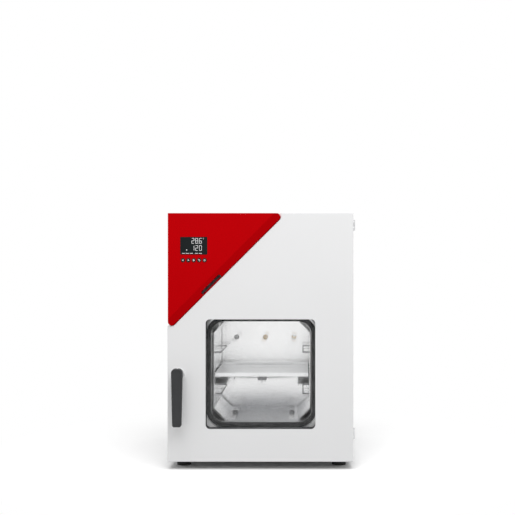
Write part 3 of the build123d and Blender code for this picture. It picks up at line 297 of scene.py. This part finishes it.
clampSteel = dict(brushedSteel, colour=rgba(0.2, 0.2, 0.205), second=rgba(0.1, 0.1, 0.105), rough=(0.3, 0.42))
dress(makeFinish("clampSteel", clampSteel), "clamp_rod_left", "clamp_rod_right", "pull_ring", "clamp_block")

# the racks' dark edge colour is painted shade, a dark line drawn along their edges
rackSteel = dict(brushedSteel, colour=rgba(0.9, 0.9, 0.905), second=rgba(0.78, 0.785, 0.79),
                 rough=(0.18, 0.26), lineShade=0.15, edge=0.8, edgeColour=rgba(0.12), edgeWidth=0.0012)
rackLow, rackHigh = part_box("rack_left")
railShade = {  # the racks' bent sheet is bright; their wire rails are painted darker, as painted shade
    "reach": abs(rackLow[0]) - 0.0022, "low": rackLow[2] + 0.036, "high": rackHigh[2] - 0.036,
    "colour": rgba(0.16, 0.16, 0.165),
}


# mask of the painted shade over the rails' band
def paintedRailShade(tree, place):
    x, y, z = splitPlace(tree, place)
    share = doMath(tree, "LESS_THAN", doMath(tree, "ABSOLUTE", x), railShade["reach"])
    share = doMath(tree, "MULTIPLY", share, doMath(tree, "GREATER_THAN", z, railShade["low"]))
    return doMath(tree, "MULTIPLY", share, doMath(tree, "LESS_THAN", z, railShade["high"]))


rackFinish = makeFinish("rackSteel", rackSteel)
tintPart(rackFinish, railShade["colour"], paintedRailShade)
dress(rackFinish, "rack_left", "rack_right")

aluminium = dict(brushedSteel, colour=rgba(0.8, 0.81, 0.82), second=rgba(0.62, 0.63, 0.64),
                 stretch=(1, 60, 60))
dress(makeFinish("shelfAluminium", aluminium), "blank_flange", "pane_carrier")

shoeSteel = dict(aluminium, colour=rgba(0.2, 0.2, 0.205), second=rgba(0.12, 0.12, 0.125))
dress(makeFinish("shoeSteel", shoeSteel), "clamp_shoe_left", "clamp_shoe_right")

shelfSheet = dict(aluminium, colour=rgba(0.86, 0.865, 0.87), second=rgba(0.7, 0.705, 0.71))
shelfLow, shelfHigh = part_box("shelf_plate")
slotShadowBand = {  # a black band painted around the shelf's grip slot: painted shadow
    "halfLength": 0.0885, "halfWidth": 0.0036, "middle": shelfHigh[1] - 0.008, "colour": rgba(0.012),
}


# mask of the painted shadow around the grip slot
def paintedSlotShadow(tree, place):
    x, y, z = splitPlace(tree, place)
    away = doMath(tree, "ABSOLUTE", doMath(tree, "SUBTRACT", y, slotShadowBand["middle"]))
    share = doMath(tree, "LESS_THAN", doMath(tree, "ABSOLUTE", x), slotShadowBand["halfLength"])
    return doMath(tree, "MULTIPLY", share, doMath(tree, "LESS_THAN", away, slotShadowBand["halfWidth"]))


shelfFinish = makeFinish("shelfSheet", shelfSheet)
slotShadowShare = tintPart(shelfFinish, slotShadowBand["colour"], paintedSlotShadow)
shelfTree = shelfFinish.node_tree
shelfTree.links.new(doMath(shelfTree, "SUBTRACT", 1.0, slotShadowShare),
                    shelfTree.nodes["Principled BSDF"].inputs["Metallic"])  # the painted shadow band isn't metal
dress(shelfFinish, "shelf_plate")

platedSteel = {
    "colour": rgba(0.66, 0.665, 0.67), "second": rgba(0.52, 0.525, 0.53), "driftScale": 60.0,
    "rough": (0.25, 0.36), "grainScale": 500.0, "bump": 0.05, "metal": 1.0,
    "edge": 0.3, "edgeColour": rgba(0.9),
}
dress(makeFinish("platedSteel", platedSteel), "pane_guide_bolts", "handle_spindle", "latch_bar",
      "hinge_pins", "cabinet_screws", "door_screws")

knobSteel = dict(platedSteel, colour=rgba(0.1, 0.1, 0.105), second=rgba(0.06), edgeColour=rgba(0.4))
dress(makeFinish("knobSteel", knobSteel), "rack_fixings")

hingeNickel = dict(platedSteel, colour=rgba(0.72, 0.725, 0.73), rough=(0.34, 0.44))
dress(makeFinish("hingeNickel", hingeNickel), "cabinet_hinge_leaves", "door_hinge_leaves", "handle_rosette")

zincSheet = {
    "colour": rgba(0.6, 0.61, 0.62), "second": rgba(0.42, 0.43, 0.45), "drift": 0.8, "driftScale": 55.0,
    "rough": (0.34, 0.5), "grainScale": 220.0, "bump": 0.06, "metal": 0.9, "dustAndShade": 0.3,
}
dress(makeFinish("zincSheet", zincSheet), "base_pan", "chamber_cradle", "latch_keeper", "electronics_divider")

sealRubber = {
    "colour": rgba(0.028, 0.029, 0.03), "second": rgba(0.04, 0.041, 0.043), "driftScale": 30.0,
    "rough": (0.5, 0.62), "grainScale": 900.0, "bump": 0.15, "dustAndShade": 0.15, "dustAndShadeColour": rgba(0.2),
}
dress(makeFinish("sealRubber", sealRubber), "door_gasket")

footRubber = dict(sealRubber, colour=rgba(0.008), second=rgba(0.014), rough=(0.55, 0.7))
dress(makeFinish("footRubber", footRubber), "feet")

darkFrame = {
    "colour": rgba(0.05, 0.052, 0.055), "second": rgba(0.035, 0.036, 0.038), "driftScale": 12.0,
    "rough": (0.42, 0.54), "grainScale": 1000.0, "edge": 0.3, "edgeColour": rgba(0.16),
}
dress(makeFinish("darkFrame", darkFrame), "window_frame")

handleNylon = {
    "colour": rgba(0.043, 0.044, 0.046), "second": rgba(0.034, 0.035, 0.037), "driftScale": 25.0,
    "rough": (0.4, 0.52), "grainScale": 1400.0, "bump": 0.25, "bumpDepth": 0.0001,
    "edge": 0.35, "edgeColour": rgba(0.09), "dustAndShade": 0.1, "specular": 0.25,
}
dress(makeFinish("handleNylon", handleNylon), "handle_lever")

blackPlastic = {
    "colour": rgba(0.012), "second": rgba(0.018), "driftScale": 30.0, "rough": (0.3, 0.42),
    "grainScale": 1500.0, "bump": 0.12, "edge": 0.3, "edgeColour": rgba(0.05), "specular": 0.2,
}
dress(makeFinish("blackPlastic", blackPlastic), "mains_inlet", "power_rocker", "display_module",
      "key_up", "key_down", "key_set", "key_back", "key_standby")

smokedLens = {
    "colour": rgba(0.008, 0.012, 0.013), "second": rgba(0.006, 0.009, 0.01), "driftScale": 20.0,
    "rough": (0.08, 0.12), "grainScale": 300.0, "bump": 0.01, "specular": 0.12, "smudge": 0.05,
}
dress(makeFinish("smokedLens", smokedLens), "display_window")

heaterSilicone = {
    "colour": rgba(0.42, 0.1, 0.05), "second": rgba(0.34, 0.08, 0.04), "driftScale": 20.0,
    "rough": (0.5, 0.6), "grainScale": 260.0, "bump": 0.3,
}
dress(makeFinish("heaterSilicone", heaterSilicone), "heating_jacket")

mineralWool = {
    "colour": rgba(0.72, 0.68, 0.5), "second": rgba(0.55, 0.5, 0.34), "drift": 0.8, "driftScale": 30.0,
    "rough": (0.85, 0.95), "stretch": (1, 1, 4), "grainScale": 160.0, "bump": 1.0, "bumpDepth": 0.0015,
    "lineShade": 0.5,
}
dress(makeFinish("mineralWool", mineralWool), "insulation_blanket")

boardGreen = {
    "colour": rgba(0.02, 0.14, 0.05), "second": rgba(0.03, 0.2, 0.07), "drift": 0.9, "driftScale": 160.0,
    "rough": (0.3, 0.42), "stretch": (1, 8, 8), "grainScale": 120.0, "bump": 0.2, "lineShade": 0.4,
}
dress(makeFinish("boardGreen", boardGreen), "control_board", "power_board")

valveBrass = {
    "colour": rgba(0.74, 0.55, 0.25), "second": rgba(0.6, 0.42, 0.18), "driftScale": 50.0,
    "rough": (0.22, 0.34), "grainScale": 400.0, "bump": 0.06, "metal": 1.0,
    "edge": 0.3, "edgeColour": rgba(0.9, 0.75, 0.45),
}
dress(makeFinish("valveBrass", valveBrass), "solenoid_valves", "gas_inlet_port")

# clear panes: most light goes straight through, so that it reaches the chamber and comes back
paneGlass = {
    "tint": rgba(0.985, 0.995, 0.99), "shadowTint": rgba(1.0), "ior": 1.45, "clearness": 0.9,
    "wipeScale": 3.0, "rough": (0.0, 0.004), "smudge": 0.01,
}


def makeGlass(name, values):
    material, tree, shader = startMaterial(name)
    shader.inputs["Base Color"].default_value = values["tint"]
    shader.inputs["Transmission Weight"].default_value = 1.0
    shader.inputs["IOR"].default_value = values["ior"]
    surface = useGroup(tree, surfaceGrain, {"Scale": values["wipeScale"], "Rough Low": values["rough"][0],
                                            "Rough High": values["rough"][1], "Smudge": values["smudge"]})
    tree.links.new(surface["Roughness"], shader.inputs["Roughness"])
    path = addNode(tree, "ShaderNodeLightPath").outputs
    passing = doMath(tree, "MULTIPLY", path["Is Camera Ray"], values["clearness"])
    for ray in ("Is Shadow Ray", "Is Diffuse Ray", "Is Glossy Ray"):
        passing = doMath(tree, "MAXIMUM", passing, path[ray])
    clear = addNode(tree, "ShaderNodeBsdfTransparent", {"Color": values["shadowTint"]}).outputs[0]
    both = addNode(tree, "ShaderNodeMixShader", {0: passing, 1: shader.outputs[0], 2: clear}).outputs[0]
    tree.links.new(both, tree.nodes["Material Output"].inputs["Surface"])
    return material


dress(makeGlass("paneGlass", paneGlass), "outer_pane", "inner_pane")
print("materials laid on the nodes")

# small raised marks, drawn in a plane facing the front, x to the right and z up
markDepth = 0.0002


def finishPiece(bm, name, body, material):
    bmesh.ops.recalc_face_normals(bm, faces=bm.faces)
    mesh = bpy.data.meshes.new(name)
    bm.to_mesh(mesh)
    bm.free()
    piece = bpy.data.objects.new(name, mesh)
    bpy.context.scene.collection.objects.link(piece)
    mesh.materials.append(material)
    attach(piece, body)


def addBar(bm, x, z, length, width, y, turn=0.0, cornerShare=0.3):
    size = Matrix.Diagonal((length, markDepth, width, 1))
    place = Matrix.Translation((x, y, z)) @ Matrix.Rotation(turn, 4, "Y") @ size
    bar = bmesh.ops.create_cube(bm, size=1.0, matrix=place)["verts"]
    edges = set(e for v in bar for e in v.link_edges)
    upright = [e for e in edges if abs((e.verts[0].co - e.verts[1].co).y) > markDepth / 2]
    bmesh.ops.bevel(bm, geom=upright, offset=width * cornerShare, affect="EDGES", segments=2, profile=0.5,
                    material=-1)


def addArc(bm, x, z, radius, width, start, sweep, y, stepsPerRadian=5):
    inner, outer, half = radius - width / 2, radius + width / 2, markDepth / 2
    corners = [(inner, -half), (outer, -half), (outer, half), (inner, half)]
    spin = Matrix.Translation((x, y, z)) @ Matrix.Rotation(-start, 4, "Y")
    section = bm.faces.new([bm.verts.new(spin @ Vector((r, d, 0))) for r, d in corners])
    whole = sweep >= 2 * math.pi
    steps = max(6, int(sweep * stepsPerRadian))
    parts = [section, *section.edges, *section.verts]
    bmesh.ops.spin(bm, geom=parts, cent=(x, y, z), axis=(0, -1, 0), angle=sweep, steps=steps,
                   use_merge=whole)
    if whole:
        bmesh.ops.delete(bm, geom=[section], context="FACES_ONLY")


def addArrow(bm, x, z, radius, turn, y):
    lie = Matrix.Rotation(-turn, 4, "Y") @ Matrix.Rotation(math.pi / 2, 4, "X")
    place = Matrix.Translation((x, y - markDepth / 2, z)) @ lie
    flat = bmesh.ops.create_circle(bm, cap_ends=True, segments=3, radius=radius, matrix=place)["verts"]
    raised = bmesh.ops.extrude_face_region(bm, geom=list(flat[0].link_faces))["geom"]
    raised = [v for v in raised if isinstance(v, bmesh.types.BMVert)]
    bmesh.ops.translate(bm, verts=raised, vec=(0, markDepth, 0))


displayLight = {
    "colour": rgba(0.6, 0.6, 0.6), "second": rgba(0.52, 0.53, 0.53), "driftScale": 200.0,
    "rough": (0.4, 0.5), "grainScale": 900.0, "bump": 0.02, "specular": 0.1, "glow": 0.3,
}
readout = {  # drops are from the window's top edge, insets from its left edge
    "figureWidth": 0.0062, "figureHeight": 0.0138, "stroke": 0.0014, "gap": 0.0003, "pitch": 0.0105,
    "rightEdge": 0.0156, "rows": (("286", 0.0106), ("120", 0.0304)),
    "pointSize": 0.0012, "pointSpace": 0.0013,
    "ringRadius": 0.0013, "ringLine": 0.0006, "ringSpace": 0.0046, "ringDrop": 0.0042,
    "legendDrop": 0.0452, "legendInset": 0.0092, "legendPitch": 0.0106, "legendBreak": 0.004,
    "legendBar": 0.0088, "legendHeight": 0.0016,
    "signInset": 0.0178, "signDrop": 0.0358, "signSize": (0.003, 0.0034),
}
segmentSides = {  # across, up, standing, the first two as shares of the figure's half width and half height
    "a": (0, 1, False), "b": (1, 0.5, True), "c": (1, -0.5, True), "d": (0, -1, False),
    "e": (-1, -0.5, True), "f": (-1, 0.5, True), "g": (0, 0, False),
}
litSegments = {"0": "abcdef", "1": "bc", "2": "abged", "6": "acdefg", "8": "abcdefg"}


def addFigure(bm, figure, x, z, y):
    halfWide, halfHigh = readout["figureWidth"] / 2, readout["figureHeight"] / 2
    for side in litSegments[figure]:
        across, up, standing = segmentSides[side]
        length = (halfHigh if standing else 2 * halfWide) - readout["gap"]
        addBar(bm, x + across * halfWide, z + up * halfHigh, length, readout["stroke"], y,
               turn=math.pi / 2 if standing else 0.0)


def makeReadout():
    bm = bmesh.new()
    low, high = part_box("display_window")
    left, y, right, top = low[0], low[1], high[0] - readout["rightEdge"], high[2]
    for figures, drop in readout["rows"]:
        for i, figure in enumerate(reversed(figures)):
            addFigure(bm, figure, right - readout["figureWidth"] / 2 - i * readout["pitch"], top - drop, y)
    size = readout["pointSize"]
    addBar(bm, right - readout["figureWidth"] - readout["pointSpace"],
           top - readout["rows"][0][1] - readout["figureHeight"] / 2, size, size, y)
    addArc(bm, right + readout["ringSpace"], top - readout["ringDrop"], readout["ringRadius"],
           readout["ringLine"], 0, 2 * math.pi, y)
    for i in range(5):  # the legend's plain dashes, three and two
        gap = readout["legendBreak"] if i > 2 else 0.0
        x = left + readout["legendInset"] + i * readout["legendPitch"] + gap
        addBar(bm, x, top - readout["legendDrop"], readout["legendBar"], readout["legendHeight"], y)
    addBar(bm, left + readout["signInset"], top - readout["signDrop"], *readout["signSize"], y)
    finishPiece(bm, "display_figures", "cabinet", makeFinish("displayLight", displayLight))


makeReadout()

keyPrint = {
    "colour": rgba(0.95, 0.8, 0.78), "second": rgba(0.88, 0.72, 0.7), "driftScale": 300.0,
    "rough": (0.45, 0.55), "grainScale": 900.0, "bump": 0.03, "specular": 0.2,
}
keyFinish = makeFinish("keyPrint", keyPrint)
keyMark = {
    "arrow": 0.00275, "line": 0.0009, "dotRadius": 0.00175, "dotLine": 0.00144,
    "backRadius": 0.002, "backTip": 0.0015, "backReach": 0.00175,
    "powerRadius": 0.002125, "powerLift": 0.0015, "powerBar": 0.0025,
}


def drawUp(bm, x, z, y):
    addArrow(bm, x, z, keyMark["arrow"], math.pi / 2, y)


def drawDown(bm, x, z, y):
    addArrow(bm, x, z, keyMark["arrow"], -math.pi / 2, y)


def drawSet(bm, x, z, y):
    addArc(bm, x, z, keyMark["dotRadius"], keyMark["dotLine"], 0, 2 * math.pi, y)


def drawBack(bm, x, z, y):
    addArc(bm, x, z, keyMark["backRadius"], keyMark["line"], -math.pi * 0.75, math.pi * 1.35, y)
    addArrow(bm, x - keyMark["backReach"], z + keyMark["backReach"], keyMark["backTip"], math.pi, y)


def drawStandby(bm, x, z, y):
    addArc(bm, x, z, keyMark["powerRadius"], keyMark["line"], math.pi * 0.7, math.pi * 1.6, y)
    addBar(bm, x, z + keyMark["powerLift"], keyMark["powerBar"], keyMark["line"], y, turn=math.pi / 2)


keyDrawings = {"key_up": drawUp, "key_down": drawDown, "key_set": drawSet, "key_back": drawBack,
               "key_standby": drawStandby}
for key, draw in keyDrawings.items():
    keyLow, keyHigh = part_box(key)
    keyMesh = bmesh.new()
    draw(keyMesh, (keyLow[0] + keyHigh[0]) / 2, (keyLow[2] + keyHigh[2]) / 2, keyLow[1])
    finishPiece(keyMesh, key + "_mark", key, keyFinish)
print("display figures and key marks made")

# stage, light and camera
stage = {
    "floorSize": 40.0, "seenColour": rgba(0.98), "bounceColour": rgba(0.3), "rough": 0.9,
    "clearFrom": 0.4, "clearTo": 0.85,
}
room = {"ambient": rgba(1.0), "strength": 0.7}


# one where the camera sees a thing, straight, in a reflection or through glass
def isSeen(tree):
    path = addNode(tree, "ShaderNodeLightPath").outputs
    seen = doMath(tree, "MAXIMUM", path["Is Camera Ray"], path["Is Glossy Ray"])
    return doMath(tree, "MAXIMUM", seen, path["Is Transmission Ray"])


def makeFloor():
    bm = bmesh.new()
    bmesh.ops.create_grid(bm, x_segments=1, y_segments=1, size=stage["floorSize"] / 2)
    mesh = bpy.data.meshes.new("floor")
    bm.to_mesh(mesh)
    bm.free()
    floor = bpy.data.objects.new("floor", mesh)
    bpy.context.scene.collection.objects.link(floor)
    material, tree, shader = startMaterial("paleFloor")
    shader.inputs["Roughness"].default_value = stage["rough"]
    shader.inputs["Specular IOR Level"].default_value = 0.0
    away = addNode(tree, "ShaderNodeVectorMath", {0: objectPlace(tree)}, operation="LENGTH").outputs["Value"]
    seen = isSeen(tree)
    colour = mixColours(tree, seen, stage["bounceColour"], stage["seenColour"])
    tree.links.new(colour, shader.inputs["Base Color"])
    share = doMath(tree, "MULTIPLY", spread(tree, away, stage["clearFrom"], stage["clearTo"]), seen)
    white = addNode(tree, "ShaderNodeEmission", {"Color": rgba(1.0), "Strength": 1.0}).outputs[0]
    both = addNode(tree, "ShaderNodeMixShader", {0: share, 1: shader.outputs[0], 2: white}).outputs[0]
    tree.links.new(both, tree.nodes["Material Output"].inputs["Surface"])
    mesh.materials.append(material)


def makeWorld():
    world = bpy.data.worlds.new("studio")
    bpy.context.scene.world = world
    world.use_nodes = True
    tree = world.node_tree
    soft = addNode(tree, "ShaderNodeBackground", {"Color": room["ambient"], "Strength": room["strength"]})
    white = addNode(tree, "ShaderNodeBackground", {"Color": rgba(1.0), "Strength": 1.0})
    both = addNode(tree, "ShaderNodeMixShader", {0: isSeen(tree), 1: soft.outputs[0], 2: white.outputs[0]})
    tree.links.new(both.outputs[0], tree.nodes["World Output"].inputs["Surface"])


softAbove = {"size": (3.0, 3.0), "power": 88.0, "place": (0.2, -1.6, 3.0), "aim": (0, 0, 0.5)}


def addLamp(name, values):
    light = bpy.data.lights.new(name, "AREA")
    light.shape = "RECTANGLE"
    light.size, light.size_y = values["size"]
    light.energy = values["power"]
    lamp = bpy.data.objects.new(name, light)
    lamp.location = values["place"]
    lamp.rotation_mode = "QUATERNION"
    lamp.rotation_quaternion = (Vector(values["aim"]) - Vector(values["place"])).to_track_quat("-Z", "Y")
    bpy.context.scene.collection.objects.link(lamp)


shot = {"place": (0.1152, -2.85, 0.576), "lens": 65.6, "shift": (-0.0864, 0.0087), "clipEnd": 100.0}


def addCamera():
    camera = bpy.data.objects.new("camera", bpy.data.cameras.new("camera"))
    camera.location = shot["place"]
    camera.rotation_euler = (math.pi / 2, 0, 0)
    camera.data.lens = shot["lens"]
    camera.data.shift_x, camera.data.shift_y = shot["shift"]
    camera.data.clip_end = shot["clipEnd"]
    bpy.context.scene.collection.objects.link(camera)
    bpy.context.scene.camera = camera


makeFloor()
makeWorld()
addLamp("softAbove", softAbove)
addCamera()
bpy.context.scene.view_settings.view_transform = "Standard"
print("stage, light and camera set")
